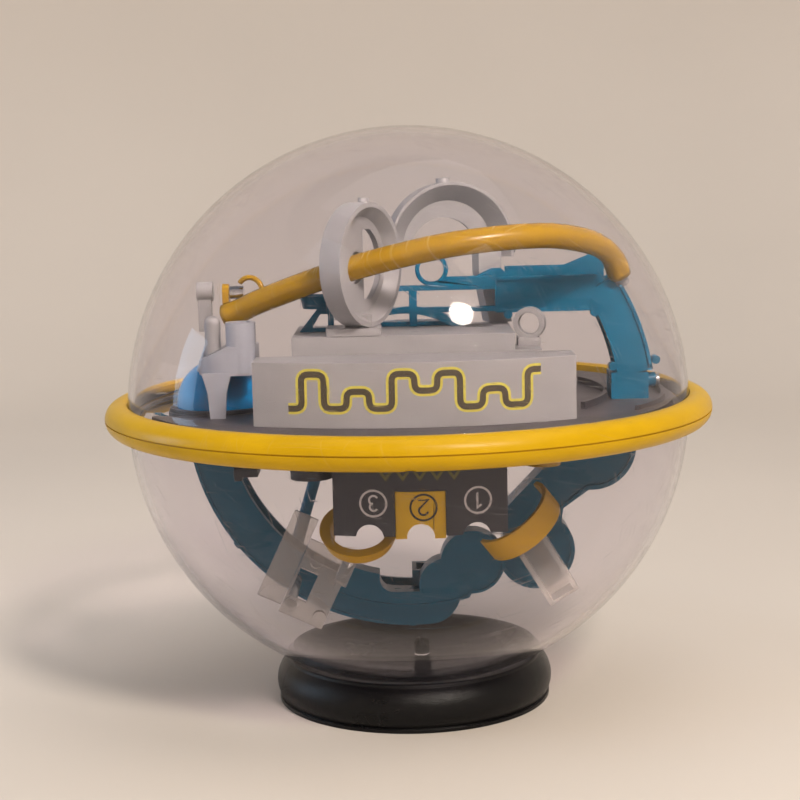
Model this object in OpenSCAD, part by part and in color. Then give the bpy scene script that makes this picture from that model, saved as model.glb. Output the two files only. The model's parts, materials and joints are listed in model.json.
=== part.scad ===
// Tilt maze game: a clear globe with a handling ring at its equator, a raised
// ball maze inside it, and a loose round stand.
// The origin is on the table, under the centre of the globe. +Z is up, and the
// player faces +Y, so the maze's front panel looks along -Y.

/* [Globe] */
// Outer radius of the two clear domes
dome_r = 100; // [98:0.5:102]
// Wall of the domes
dome_wall = 2.2; // [1.8:0.1:2.6]
// Height of the globe's centre above the table
globe_z = 106; // [105.5:0.5:108]
// Thickness of each dome's flange
flange_t = 1.5; // [1.2:0.1:1.8]
// Height of the lower dome's own centre above the seam, which makes it a little shallower
lower_dome_lift = 0.8; // [0:0.1:1]

/* [Handling ring] */
// Radius of the circle that the ring's tube follows
ring_mid_r = 102.5; // [102:0.1:103]
// Radius of the ring's tube
ring_tube_r = 5.5; // [5:0.1:6]
// Number of screws that hold the two ring halves together
ring_screw_count = 6; // [4:1:8]

/* [Stand] */
// Radius of the stand's skirt where it is widest
foot_r = 50.4; // [49:0.2:52]
// Wall of the stand's skirt and seat
stand_wall = 2; // [1.6:0.1:2.4]
// Gap between the seat and the globe
seat_gap = 0.3; // [0.2:0.05:0.5]
// Radius of the stand's rim
rim_r = 46; // [45.4:0.2:46.4]
// Height of the stand's rim
rim_z = 16.2; // [15.8:0.1:16.4]

/* [Deck] */
// Radius of the deck's clamped rim
deck_rim_r = 101; // [100:0.5:102]
// Thickness of the deck's clamped rim
deck_rim_t = 1.2; // [1:0.1:1.4]
// Height of the deck's top above the globe's centre
deck_top = 3.4; // [3:0.1:4]

/* [Maze] */
// Wall of a moulded track
track_wall = 1.6; // [1.4:0.1:1.8]
// Thickness of a clear bracket
clear_t = 1.6; // [1.4:0.1:2]
// Radius of the pegs that keep a track off the dome
peg_r = 1.5; // [1.2:0.1:1.8]

/* [Ball] */
// Radius of the steel ball
ball_r = 4; // [3.5:0.1:4.5]

/* [Hidden] */
$fn = 96;
dome_in_r = dome_r - dome_wall;
flange_r = 101.4;
fit_gap = 0.1;

// Front panel block
front_x = [-49.9, 54];
front_top = 24.5;
front_bulge_r = 154;
front_face_y = -74.5;
front_back_y = -50;
shell_t = 2;

// Second tier, behind the front panel
tier_x = [-38, 35.6];
tier_top = 30.6;
tier_back_y = -8;
plinth_h = 2.6;

// Twin loop
drum_c = [-14.4, -43.4, 53.6];
drum_turn = 61;
drum_r = 20.4;
drum_w = 7.6;
arch_c = [15.6, -10, 57.4];
arch_turn = 14;
arch_r = 22.4;
arch_w = 8.5;
arch_leg_w = 8.2;
arch_hole_r = 12;
arch_hole_c = [-1.4, -1.8];
arch_slope = 6.4;

// Lower track that follows the dome
arc_out_r = 79.4;
arc_in_r = 65;
arc_w = 14;
arc_from = 187;
arc_to = 276;
arc_end_c = [5.2, -67];
arc_end_r = 12.4;
arc_end_top = -59;

// Stepped front track and the wavy tray beside it: X, Z and radius of each round pocket
scallop_out_r = 70.3;
scallop_in_r = 59;
scallop_lobes = [[12, -62.4, 9.6], [21.6, -54.4, 11.4]];
lobes = [[45.6, -54.6, 14.2], [66.4, -16.4, 16]];

// Funnel ring: radius at its lower and upper ends
funnel_r = [11.6, 13.4];
funnel_h = 5;

// Half hoop
hoop_c = [36.6, -33, -36];
hoop_r = 13.2;
hoop_w = 8.8;

// Left tower and the bell behind its hood
tower_x = -57;
tower_y = -33;
chimney_c = [-55.6, -39];
chimney_r = 5;
chimney_top = 35.2;
hood_low = 17.6;
bracket_x = [-62.4, -60.2];
bracket_y = -26;
bracket_pin_z = 44.2;
bell_c = [-65.5, -20];
bell_r = 14.8;
bell_skirt_h = 2;
pedestal_h = 1.4;

// Bridge
bridge_front_y = -18;
bridge_w = 13;
bridge_top = 47;
bridge_low = 34.6;
leg_out_r = 86.6;
leg_in_r = 74;

// Back channel, the gate over it and the bowl below it
rear_c = [10, 18];
rear_in_r = 15;
rear_out_r = 28;
rear_gate_c = [10, 46];
rear_gate_r = 17;

// Start block
start_x = [-25.6, 32];
start_split = [-5.2, 11.6];
start_top = -6;
start_low = -34.6;
start_face_y = -61;
start_bulge_r = 90;
start_mid_x = 3.2;
start_panel_top = -19.6;
start_back_y = -34;
notch_r = 4.6;

// Route of the balance rail's middle, from the left tower to the right end
rail_route = [
    [-61.8, -28.6, 36.2], [-56.5, -30, 38.2], [-50.5, -33, 41.1], [-38.8, -38, 45.6], [-26.4, -43, 50],
    [-14.2, -47, 53.6], [-1.6, -51, 56.8], [11.5, -53, 59.5], [21.2, -53, 60.8], [34.8, -50, 61.8],
    [48.7, -43.4, 61.6], [60.6, -34, 59.2], [67.2, -27, 56.2], [71.4, -21.5, 52], [73.8, -18, 46.8]
];
rail_r = 3.9;
rail_steps = 3;
rail_sides = 16;

yellow = [0.88, 0.68, 0.02];
rail_yellow = [0.85, 0.62, 0.12];
blue = [0.12, 0.42, 0.62];
light_grey = [0.68, 0.66, 0.64];
dark_grey = [0.3, 0.29, 0.3];
clear = [0.85, 0.85, 0.9, 0.25];

// Gap between the resting ball and the track
ball_gap = 0.3;

small_fn = 32;
edge_bead_w = 1.1;
edge_bead_h = 0.7;

// ---------- Helpers ----------

module in_globe() {
    translate([0, 0, globe_z]) children();
}

// A flat outline drawn in X and Z, as seen from the front, made solid from front_y back to back_y
module front_slab(front_y, back_y) {
    translate([0, back_y, 0]) rotate([90, 0, 0]) linear_extrude(back_y - front_y) children();
}

// Turns a profile about the Y axis. Angles run from +X towards +Z, and the profile's second
// coordinate points along -Y
module about_y(from, to) {
    rotate([90, 0, 0]) rotate_extrude(angle = to - from, start = from) children();
}

// Section of a trough that is open towards the axis
module trough_section(in_r, out_r, w) {
    difference() {
        translate([in_r, -w / 2]) square([out_r - in_r, w]);
        translate([in_r - 1, track_wall - w / 2])
            square([out_r - in_r + 1 - track_wall, w - 2 * track_wall]);
    }
}

module between(a, b) {
    translate([a[0], a[1]]) square([b[0] - a[0], b[1] - a[1]]);
}

module box(low, high) {
    translate(low) cube(high - low);
}

// Flat ring sector. Angles run from +X, anticlockwise
module sector_outline(in_r, out_r, from, to) {
    reach = 1.2 * out_r;
    intersection() {
        difference() {
            circle(r = out_r, $fn = 240);
            circle(r = in_r, $fn = 240);
        }
        polygon([
            [0, 0],
            for (i = [0 : 4])
                let (a = from + (to - from) * i / 4) [reach * cos(a), reach * sin(a)]
        ]);
    }
}

// Bar of a circular section from one point to another
module rod(a, b, r) {
    d = b - a;
    translate(a)
        rotate([0, acos(d[2] / norm(d)), atan2(d[1], d[0])])
            cylinder(r = r, h = norm(d));
}

// ---------- Stand and globe ----------

// Outline of the skirt's bulge and all inside it, drawn wall smaller
module skirt_outline(wall) {
    bulge_r = 9.8;
    bulge_z = 7;
    bulge_x = foot_r - 0.2 - bulge_r;
    intersection() {
        union() {
            translate([bulge_x, bulge_z]) circle(r = bulge_r - wall);
            between([0, -wall], [bulge_x, rim_z - 2]);
        }
        between([0, -wall], [foot_r, rim_z - 1]);
    }
}

module stand() {
    foot_lip = 1.4;
    lip_r = foot_r - 1;
    color([0.06, 0.06, 0.07])
        rotate_extrude()
            difference() {
                union() {
                    skirt_outline(0);
                    between([0, 0], [lip_r, foot_lip]);
                    // Thin rim, proud of the skirt
                    polygon([
                        [0, rim_z - 2.4], [rim_r - 0.9, rim_z - 2.4], [rim_r, rim_z - 1.3],
                        [rim_r, rim_z - 0.5], [rim_r - 0.5, rim_z], [0, rim_z]
                    ]);
                }
                translate([0, globe_z + lower_dome_lift])
                    circle(r = dome_r + seat_gap, $fn = 360);
                // Hollow underneath
                difference() {
                    skirt_outline(stand_wall);
                    translate([0, globe_z + lower_dome_lift])
                        circle(r = dome_r + seat_gap + stand_wall, $fn = 360);
                }
            }
}

// A dome with its flange. The dome's own centre lies drop below the flange's face
module dome_half(drop) {
    rotate_extrude($fn = 180)
        union() {
            intersection() {
                translate([0, -drop])
                    difference() {
                        circle(r = dome_r, $fn = 360);
                        circle(r = dome_in_r, $fn = 360);
                    }
                between([0, 0], [dome_r + 1, dome_r + 1]);
            }
            between([dome_in_r + 0.6, 0], [flange_r, flange_t]);
        }
}

module upper_dome() {
    color(clear)
        in_globe() translate([0, 0, deck_rim_t]) dome_half(deck_rim_t);
}

module lower_dome() {
    nub_c = [3, 13];
    nub_r = 3;
    nub_h = 6.6;
    color(clear)
        in_globe()
            union() {
                mirror([0, 0, 1]) dome_half(lower_dome_lift);
                // Moulded nub on the inside of the bottom
                translate([nub_c[0], nub_c[1], 1 - dome_in_r])
                    union() {
                        cylinder(r = nub_r, h = nub_h - 1);
                        translate([0, 0, nub_h - 1]) cylinder(r1 = nub_r, r2 = nub_r - 1, h = 1);
                    }
            }
}

module ring_half() {
    pocket_h = flange_t + deck_rim_t;
    seam_groove = 0.5;
    difference() {
        rotate_extrude($fn = 180)
            difference() {
                translate([ring_mid_r, 0]) circle(r = ring_tube_r);
                between([ring_mid_r - 9, -9], [ring_mid_r + 9, 0]);
                between([ring_mid_r - 9, -1], [dome_r + 0.25, 9]);
                // Fine groove along the seam
                between([ring_mid_r + ring_tube_r - seam_groove, -1], [ring_mid_r + 9, seam_groove / 2]);
                between([ring_mid_r - 9, -1], [flange_r + fit_gap, pocket_h + fit_gap]);
            }
        children();
    }
}

module ring_screw_places() {
    for (i = [0 : ring_screw_count - 1])
        rotate([0, 0, (i + 0.5) * 360 / ring_screw_count])
            translate([ring_mid_r + 1.4, 0, 0]) children();
}

module ring_upper() {
    color(yellow)
        in_globe()
            ring_half()
                ring_screw_places() cylinder(r = 1, h = 3, center = true, $fn = 24);
}

module ring_lower() {
    color(yellow)
        in_globe()
            mirror([0, 0, 1])
                ring_half()
                    ring_screw_places()
                        union() {
                            cylinder(r = 1.1, h = 9, center = true, $fn = 24);
                            translate([0, 0, 3]) cylinder(r = 2.2, h = 5, $fn = small_fn);
                        }
}

module ring_screws() {
    color("silver")
        in_globe()
            ring_screw_places()
                difference() {
                    union() {
                        translate([0, 0, -4]) cylinder(r = 0.9, h = 5.2, $fn = 24);
                        translate([0, 0, -4.2]) cylinder(r = 1.9, h = 1.2, $fn = small_fn);
                    }
                    for (a = [0, 90])
                        rotate([0, 0, a]) translate([0, 0, -4.2]) cube([2.4, 0.5, 1], center = true);
                }
}

// ---------- Equator deck ----------

module deck() {
    plate_r = 95;
    low = -1.2;
    color(dark_grey)
        in_globe()
            difference() {
                union() {
                    cylinder(r = deck_rim_r, h = deck_rim_t, $fn = 180);
                    translate([0, 0, low]) cylinder(r = plate_r, h = deck_top - low, $fn = 180);
                    // Deep boss under the bell
                    translate([bell_c[0], bell_c[1], low - 4]) cylinder(r = bell_r + 3, h = 6);
                    deck_ribs();
                }
                deck_windows(low - 1);
            }
}

// Raised ribs that guide the ball across the right of the deck
module deck_ribs() {
    rib_h = 2.4;
    rib_t = 1.6;
    difference() {
        union() {
            for (r = [58, 70, 90])
                rotate([0, 0, -34])
                    rotate_extrude(angle = 58)
                        translate([r, deck_top - 0.2]) square([rib_t, rib_h + 0.2]);
            for (r = [48, 62, 78])
                rotate([0, 0, 40])
                    rotate_extrude(angle = 80)
                        translate([r, deck_top - 0.2]) square([rib_t, rib_h + 0.2]);
        }
        // Room for what stands on the deck
        box([70, bridge_front_y - 0.3, deck_top], [85, bridge_front_y + bridge_w + 0.3, deck_top + 5]);
        translate([rear_c[0], rear_c[1], deck_top]) cylinder(r = rear_out_r + 0.3, h = 9);
        rear_gate_ring(0.3);
    }
}

// Openings that let the ball drop to the lower half
module deck_windows(low) {
    h = 12;
    translate([0, 0, low]) {
        // Open left side, with a shelf for the bell
        difference() {
            rotate_sector(36, 96, 122, 205, h);
            translate([bell_c[0], bell_c[1], -1]) cylinder(r = bell_r + 3, h = h + 2);
        }
        rotate_sector(30, 56, 60, 112, h);
        rotate_sector(24, 54, 280, 318, h);
        translate([82, 12, 0]) cylinder(r = 6.5, h = h);
        translate([-30, -36, 0]) cylinder(r = 7, h = h);
        translate([0, -24, 0]) cylinder(r = 12, h = h);
    }
}

module rotate_sector(in_r, out_r, from, to, h) {
    rotate([0, 0, from]) rotate_extrude(angle = to - from) between([in_r, 0], [out_r, h]);
}

// ---------- Front panel and tier ----------

module front_panel() {
    color(light_grey)
        in_globe()
            difference() {
                front_block(0);
                difference() {
                    front_block(shell_t);
                    // Ribs inside the shell
                    for (x = [-18, 18])
                        box([x - 0.8, -80, 0], [x + 0.8, -40, 40]);
                }
            }
}

module front_block(inset) {
    intersection() {
        box(
            [front_x[0] + inset, -90, deck_top - 4 * inset],
            [front_x[1] - inset, front_back_y - inset, front_top - inset]
        );
        translate([2, front_face_y + front_bulge_r, deck_top - 10])
            cylinder(r = front_bulge_r - inset, h = 60, $fn = 360);
    }
}

module tier_housing() {
    front_y = front_back_y + 0.2;
    low = deck_top;
    color(light_grey)
        in_globe()
            difference() {
                union() {
                    box([tier_x[0], front_y, low], [tier_x[1], tier_back_y, tier_top]);
                    box([tier_x[1] - 1, front_y, front_top - 1], [44.5, front_y + 18, front_top + 0.6]);
                }
                box(
                    [tier_x[0] + shell_t, front_y + shell_t, low - 1],
                    [tier_x[1] - shell_t, tier_back_y + 1, tier_top - shell_t]
                );
                // Ball gate through the right wall
                box([tier_x[1] - 5, -34, low - 1], [tier_x[1] + 1, -20, low + 13]);
                // Drop hole in the top
                translate([24, -20, low]) cylinder(r = 6, h = 40);
            }
}

// ---------- Twin loop ----------

module loop_plinth() {
    color(light_grey)
        in_globe()
            box([-26.6, -50, tier_top], [-8.4, -36.4, tier_top + plinth_h]);
}

// Frame of the left loop: its axis is along local Z, and its face looks to the right and front
module on_drum() {
    translate(drum_c) rotate([0, 0, drum_turn]) rotate([90, 0, 0]) children();
}

module loop_drum() {
    web_t = 2;
    recess = 4;
    slope = 3;
    foot_top = 4;
    peg_angle = 84;
    low_z = tier_top + plinth_h;
    color(light_grey)
        in_globe()
            difference() {
                intersection() {
                    union() {
                        on_drum()
                            difference() {
                                translate([0, 0, -drum_w / 2]) cylinder(r = drum_r, h = drum_w);
                                // Sloping recess in front of the web, and a straight one behind it
                                translate([0, 0, drum_w / 2 - recess])
                                    cylinder(
                                        r1 = drum_r - track_wall - slope,
                                        r2 = drum_r - track_wall,
                                        h = recess + 0.01
                                    );
                                translate([0, 0, -drum_w])
                                    cylinder(r = drum_r - track_wall, h = drum_w * 1.5 - recess - web_t);
                                translate([0, 0, -drum_w]) drum_window(2 * drum_w);
                            }
                        // Flat foot on the plinth
                        translate([drum_c[0] - 6, drum_c[1] - 3, low_z]) cube([9, 7, foot_top]);
                        on_drum()
                            rotate([0, 0, peg_angle]) translate([drum_r - 0.5, 0, 0])
                                rotate([0, 90, 0]) cylinder(r = 1.8, h = 2, $fn = small_fn);
                    }
                    box([-60, -90, low_z], [60, 60, 90]);
                }
                rail_way(4, 6, 0.9);
            }
}

// Half-moon hole in the loop's web
module drum_window(h) {
    linear_extrude(h)
        intersection() {
            circle(r = 13);
            between([1.4, -11.6], [14, 11.6]);
        }
}

// Frame of the right loop
module on_arch() {
    translate(arch_c) rotate([0, 0, arch_turn]) rotate([90, 0, 0]) children();
}

// Leg of the right loop, which leans out to its foot on the tier
module arch_leg(gap) {
    foot = tier_top - arch_c[2] - gap;
    bend_y = -9;
    top_y = 2;
    left = [13, 9.4] - [gap, gap];
    right = [13, 9.4] + [arch_leg_w + gap, arch_leg_w + gap];
    translate([0, 0, -arch_w / 2 - gap])
        linear_extrude(arch_w + 2 * gap)
            polygon([
                [left[0], foot], [right[0], foot], [right[1], bend_y],
                [right[1], top_y], [left[1], top_y], [left[1], bend_y]
            ]);
}

module loop_arch() {
    web_t = 2;
    open_top = -4;
    side_peg_z = -1;
    top_peg_angle = 95;
    reach = 2 * arch_r + 10;
    color(light_grey)
        in_globe()
            difference() {
                on_arch()
                    union() {
                        difference() {
                            union() {
                                translate([0, 0, -arch_w / 2]) cylinder(r = arch_r, h = arch_w);
                                translate([arch_r - 1, side_peg_z, 0]) rotate([0, 90, 0])
                                    cylinder(r = 1.8, h = 2.4, $fn = small_fn);
                                rotate([0, 0, top_peg_angle]) translate([arch_r - 1, 0, 0])
                                    rotate([0, 90, 0]) cylinder(r = 2.4, h = 2.6, $fn = small_fn);
                            }
                            // Sloping inner wall of the channel
                            translate([0, 0, web_t - arch_w / 2])
                                cylinder(
                                    r1 = arch_r - arch_slope,
                                    r2 = arch_r - 1,
                                    h = arch_w - web_t + 0.01
                                );
                            translate([arch_hole_c[0], arch_hole_c[1], -arch_w])
                                cylinder(r = arch_hole_r, h = 2 * arch_w);
                            // The lower half of the disc is open
                            translate([-reach / 2, open_top - reach, -arch_w])
                                cube([reach, reach, 2 * arch_w]);
                        }
                        arch_leg(0);
                    }
                // The left loop stands here
                on_drum()
                    translate([0, 0, -drum_w / 2 - 2 * fit_gap])
                        cylinder(r = drum_r + fit_gap, h = drum_w + 4 * fit_gap);
            }
}

// ---------- Balance rail ----------

// Point on a smooth curve through four route points, at t from 0 to 1 between the middle two
function curve_at(p0, p1, p2, p3, t) =
    0.5 * (2 * p1 + (p2 - p0) * t + (2 * p0 - 5 * p1 + 4 * p2 - p3) * t * t
        + (3 * p1 - p0 - 3 * p2 + p3) * t * t * t);

function route_point(route, i) = route[max(0, min(len(route) - 1, i))];

function smooth_route(route, steps) = [
    for (i = [0 : len(route) - 2])
        for (j = [0 : steps - 1])
            curve_at(
                route_point(route, i - 1), route_point(route, i),
                route_point(route, i + 1), route_point(route, i + 2), j / steps
            ),
    route[len(route) - 1]
];

function unit(v) = v / norm(v);

function tangent_at(path, i) =
    unit(path[min(i + 1, len(path) - 1)] - path[max(i - 1, 0)]);

// One ring of points round the path: a soft four-ridged section, with a ridge to the front
function section_ring(path, i, r, sides) =
    let (
        along = tangent_at(path, i),
        side = unit(cross(along, [0, 0, 1])),
        up = cross(side, along)
    )
    [
        for (k = [0 : sides - 1])
            let (a = k * 360 / sides, soft = r * (1 + 0.07 * cos(4 * (a - 10))))
                path[i] + side * soft * cos(a) + up * soft * sin(a)
    ];

module sweep(path, r, sides) {
    n = len(path);
    points = [for (i = [0 : n - 1]) each section_ring(path, i, r, sides)];
    walls = [
        for (i = [0 : n - 2])
            for (k = [0 : sides - 1])
                let (a = i * sides + k, b = i * sides + (k + 1) % sides)
                    [a, b, b + sides, a + sides]
    ];
    first = [for (k = [sides - 1 : -1 : 0]) k];
    last = [for (k = [0 : sides - 1]) (n - 1) * sides + k];
    polyhedron(points, concat([first], walls, [last]), convexity = 6);
}

module rail_tube(r) {
    sweep(smooth_route(rail_route, rail_steps), r, rail_sides);
}

// Straight way for the rail through another piece, between two of its route points
module rail_way(first, last, gap) {
    rod(rail_route[first], rail_route[last], rail_r * 1.07 + gap);
}

module balance_rail() {
    color(rail_yellow)
        in_globe() rail_tube(rail_r);
}

module end_pin_shape(gap) {
    end = rail_route[len(rail_route) - 1];
    dir = unit(end - rail_route[len(rail_route) - 2]);
    rod(end + dir * 0.3, end + dir * (3.6 + gap), 2.6 + gap);
}

module rail_end_pin() {
    color([0.6, 0.58, 0.57])
        in_globe() end_pin_shape(0);
}

// ---------- Left tower ----------

module rail_bracket() {
    hole_r = 1.2;
    color(rail_yellow)
        in_globe()
            difference() {
                union() {
                    box([bracket_x[0], bracket_y - 3, 34], [bracket_x[1], bracket_y + 3, bracket_pin_z]);
                    translate([bracket_x[0], bracket_y, bracket_pin_z])
                        rotate([0, 90, 0]) cylinder(r = 3, h = bracket_x[1] - bracket_x[0]);
                }
                translate([bracket_x[0] - 1, bracket_y, bracket_pin_z])
                    rotate([0, 90, 0]) cylinder(r = hole_r, h = 6, $fn = small_fn);
                rod(
                    rail_route[0] - unit(rail_route[1] - rail_route[0]),
                    rail_route[1],
                    rail_r * 1.07 + 0.1
                );
            }
}

module bracket_pin() {
    color("silver")
        in_globe()
            translate([bracket_x[0], bracket_y, bracket_pin_z])
                rotate([0, 90, 0])
                    union() {
                        cylinder(r = 1.1, h = 4, $fn = small_fn);
                        translate([0, 0, 2.5]) cylinder(r = 2.3, h = 4.6);
                    }
}

module rail_handle() {
    wire_r = 0.9;
    bend_r = 5;
    bend_c = [-52.8, -30, 44.4];
    turn = -26.6;
    color(rail_yellow)
        in_globe()
            translate(bend_c)
                rotate([0, 0, turn])
                    about_y(18, 140)
                        translate([bend_r, 0]) circle(r = wire_r, $fn = 24);
}

// Chimney, and the hood that spreads from it to the left and front
module hood_solid(gap) {
    hood_x = [-70 - gap, chimney_c[0] + chimney_r - 0.2 + gap];
    hood_r = 11.4;
    translate([chimney_c[0], chimney_c[1], hood_low])
        cylinder(r = chimney_r + gap, h = chimney_top - hood_low + gap);
    intersection() {
        translate([tower_x - 2.6, tower_y, 0]) cylinder(r = hood_r + gap, h = 40);
        front_slab(tower_y - 20, tower_y + 9)
            polygon([
                [hood_x[0], hood_low], [hood_x[1], hood_low], [hood_x[1], 27 + gap],
                [-60, 27.4 + gap], [hood_x[0], 22.4 + gap]
            ]);
    }
}

module tower_strut(gap) {
    rod([-66.4, -31, 29.2], [-70.8, -28.4, 17.6], 1.4 + gap);
}

module left_tower() {
    leg_y = -44.6;
    leg_t = 1.8;
    leg_mid_x = -63.6;
    leg_top = 18.6;
    bore_r = 3.4;
    hollow_r = 9.4;
    color([0.78, 0.77, 0.76])
        in_globe()
            difference() {
                union() {
                    hood_solid(0);
                    // Leg in front of the bell, wider at its top
                    front_slab(leg_y, leg_y + leg_t)
                        translate([leg_mid_x, 0])
                            polygon([
                                [-2.6, deck_top], [2.5, deck_top], [3.1, 12],
                                [4.9, leg_top], [-4.9, leg_top], [-3.1, 12]
                            ]);
                    // Strut beside the bell's top
                    tower_strut(0);
                }
                bell_shape(bell_r + 0.3);
                // Bore of the chimney and the hollow under the hood
                translate([chimney_c[0], chimney_c[1], 22]) cylinder(r = bore_r, h = 20);
                translate([tower_x - 2.6, tower_y, 15]) cylinder(r = hollow_r, h = 5.6);
                rail_way(0, 2, 0.6);
            }
}

module tower_post() {
    post_r = 2.7;
    post_low = 23;
    post_top = 34.4;
    color(light_grey)
        in_globe()
            difference() {
                translate([-65.4, -34.6, 0])
                    union() {
                        translate([0, 0, post_low]) cylinder(r = post_r, h = post_top - post_low);
                        translate([0, 0, post_top]) sphere(r = post_r);
                    }
                hood_solid(0.1);
                tower_strut(0.1);
                // Flat inner face beside the rail
                box([-65.2, -33, post_top - 0.4], [-60, -27, post_top + 12]);
            }
}

module tower_knob() {
    knob_c = [-68.6, -24.4, 44.6];
    knob_r = 3.3;
    knob_w = 5.4;
    color(light_grey)
        in_globe()
            difference() {
                union() {
                    translate(knob_c) rotate([0, 90, 0]) cylinder(r = knob_r, h = knob_w, center = true);
                    // Wide stem, and the thin leg that carries it down to the bell
                    box([-71, -26.4, 31], [-66.6, -22.4, knob_c[2] - 0.6]);
                    box([-68, -24.6, 15], [-66.6, -22.6, 31.5]);
                }
                bell_shape(bell_r + 0.05);
                hood_solid(0.1);
                tower_strut(0.1);
            }
}

module bell_shape(r) {
    translate([bell_c[0], bell_c[1], deck_top + 0.6])
        union() {
            cylinder(r = r, h = bell_skirt_h);
            translate([0, 0, bell_skirt_h])
                intersection() {
                    sphere(r = r);
                    cylinder(r = r, h = r);
                }
        }
}

module blue_bell() {
    wall = 2.2;
    top_hole_r = 4.6;
    door_turn = 120;
    door_half_w = 5;
    door_h = 9;
    color(blue)
        in_globe()
            difference() {
                bell_shape(bell_r);
                translate([0, 0, -0.01]) bell_shape(bell_r - wall);
                translate([bell_c[0], bell_c[1], deck_top])
                    union() {
                        translate([0, 0, bell_r]) cylinder(r = top_hole_r, h = bell_r);
                        // Doorway at the back
                        rotate([0, 0, door_turn])
                            box([bell_r / 2, -door_half_w, 0], [bell_r + 3, door_half_w, door_h]);
                    }
            }
}

module bell_pedestal() {
    color(dark_grey)
        in_globe()
            difference() {
                translate([bell_c[0], bell_c[1], deck_top]) cylinder(r = bell_r + 2.4, h = pedestal_h);
                bell_shape(bell_r + 0.3);
                translate([bell_c[0], bell_c[1], deck_top - 1]) cylinder(r = bell_r - 3, h = 9);
            }
}

// ---------- Bridge and lattice ----------

module bridge() {
    start_x = 31;
    bend_x = 66;
    floor_z = bridge_low + 3;
    back_y = bridge_front_y + bridge_w;
    leg_mid = bridge_front_y + bridge_w / 2;
    foot_x = [71, 84];
    foot_top = 12.6;
    color(blue)
        in_globe()
            difference() {
                union() {
                    // Straight trough: front wall with its nose, floor and taller back wall
                    front_slab(bridge_front_y, bridge_front_y + track_wall)
                        polygon([
                            [24.6, 44.4], [24.6, 47.6], [29.6, 50], [33, 50], [36, bridge_top],
                            [bend_x, bridge_top], [bend_x, bridge_low],
                            [start_x, bridge_low], [start_x, 44.4]
                        ]);
                    box([start_x, bridge_front_y, floor_z], [bend_x, back_y, floor_z + track_wall]);
                    front_slab(back_y - track_wall, back_y)
                        polygon([
                            [35, 50], [56, 50], [67, 54.4],
                            [70, 50], [70, bridge_low], [35, bridge_low]
                        ]);
                    bridge_beads(start_x + 1, bend_x - 1);
                    // Curved leg that follows the dome, closed in front where it meets the trough
                    translate([0, leg_mid, 0])
                        union() {
                            about_y(9, 33) trough_section(leg_in_r, leg_out_r, bridge_w);
                            about_y(24, 33)
                                between(
                                    [leg_in_r, -bridge_w / 2],
                                    [leg_out_r, track_wall - bridge_w / 2]
                                );
                        }
                    box([foot_x[0], bridge_front_y, deck_top], [foot_x[1], back_y, foot_top]);
                    // Pegs
                    for (p = [[35.3, 34], [65.4, 34], [71.6, 15], [86.4, 17]])
                        translate([p[0], bridge_front_y + 3, p[1]])
                            rotate([90, 0, 0]) cylinder(r = peg_r, h = 4, $fn = small_fn);
                    on_bridge_boss() cylinder(r = 2.6, h = 4);
                }
                box(
                    [foot_x[0] + 2, bridge_front_y + 3, deck_top - 1],
                    [foot_x[1] - 2, back_y - track_wall, foot_top + 3.4]
                );
                on_bridge_boss() translate([0, 0, -3]) cylinder(r = 1.2, h = 9, $fn = small_fn);
                // Notch for the right loop's leg
                on_arch() arch_leg(0.15);
                // Socket for the rail's end
                end_pin_shape(0.1);
                rail_way(13, 14, 0.3);
            }
}

// Beads along the edges of the bridge's front wall, and down both edges of its leg
module bridge_beads(from_x, to_x) {
    inset = 0.15;
    for (z = [bridge_low + inset, bridge_top - edge_bead_w - inset])
        box(
            [from_x, bridge_front_y - edge_bead_h, z],
            [to_x, bridge_front_y + 0.3, z + edge_bead_w]
        );
    translate([0, bridge_front_y, 0])
        for (r = [leg_in_r + inset, leg_out_r - edge_bead_w - inset])
            about_y(10, 31) between([r, -0.3], [r + edge_bead_w, edge_bead_h]);
}

// Frame of the screw boss on the side of the bridge's foot
module on_bridge_boss() {
    translate([83, bridge_front_y + 5, 9.4]) rotate([0, 90, 0]) children();
}

module bridge_screw() {
    shank_r = 1.1;
    shank_h = 4.1;
    head_r = 2.1;
    head_h = 1.3;
    color("silver")
        in_globe()
            on_bridge_boss()
                difference() {
                    union() {
                        cylinder(r = shank_r, h = shank_h, $fn = small_fn);
                        translate([0, 0, shank_h]) cylinder(r = head_r, h = head_h);
                    }
                    for (a = [0, 90])
                        rotate([0, 0, a])
                            translate([0, 0, shank_h + head_h]) cube([2.6, 0.6, 1.2], center = true);
                }
}

module lattice() {
    front_y = bridge_front_y - 3;
    back_y = bridge_front_y - 0.2;
    bar_z = [43, 44.8];
    ring_c = [9, 50.2];
    brace_r = 29.6;
    foot_c = [2, -24];
    color(blue)
        in_globe()
            union() {
                front_slab(front_y, back_y)
                    union() {
                        // Post, bar and the open ring on it
                        between([1, tier_top], [3.7, bar_z[1]]);
                        between([-3.6, bar_z[0]], [31, bar_z[1]]);
                        polygon([[8, 44], [14, 47.6], [31, 47.6], [31, 44]]);
                        // Thin bar on from the top of the brace
                        between([1, 35.4], [31, 37.2]);
                        translate(ring_c)
                            difference() {
                                circle(r = 5.7);
                                circle(r = 4.2);
                            }
                        // Arched brace
                        intersection() {
                            difference() {
                                translate([1, 8]) circle(r = brace_r);
                                translate([-1, 5.6]) circle(r = brace_r);
                            }
                            between([-9, tier_top], [40, 60]);
                        }
                    }
                // Curved foot on the tier
                translate([foot_c[0], foot_c[1], tier_top])
                    intersection() {
                        cylinder(r = 15, h = 1.6);
                        box([-20, 5.4, -1], [20, 20, 3]);
                    }
            }
}

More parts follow.
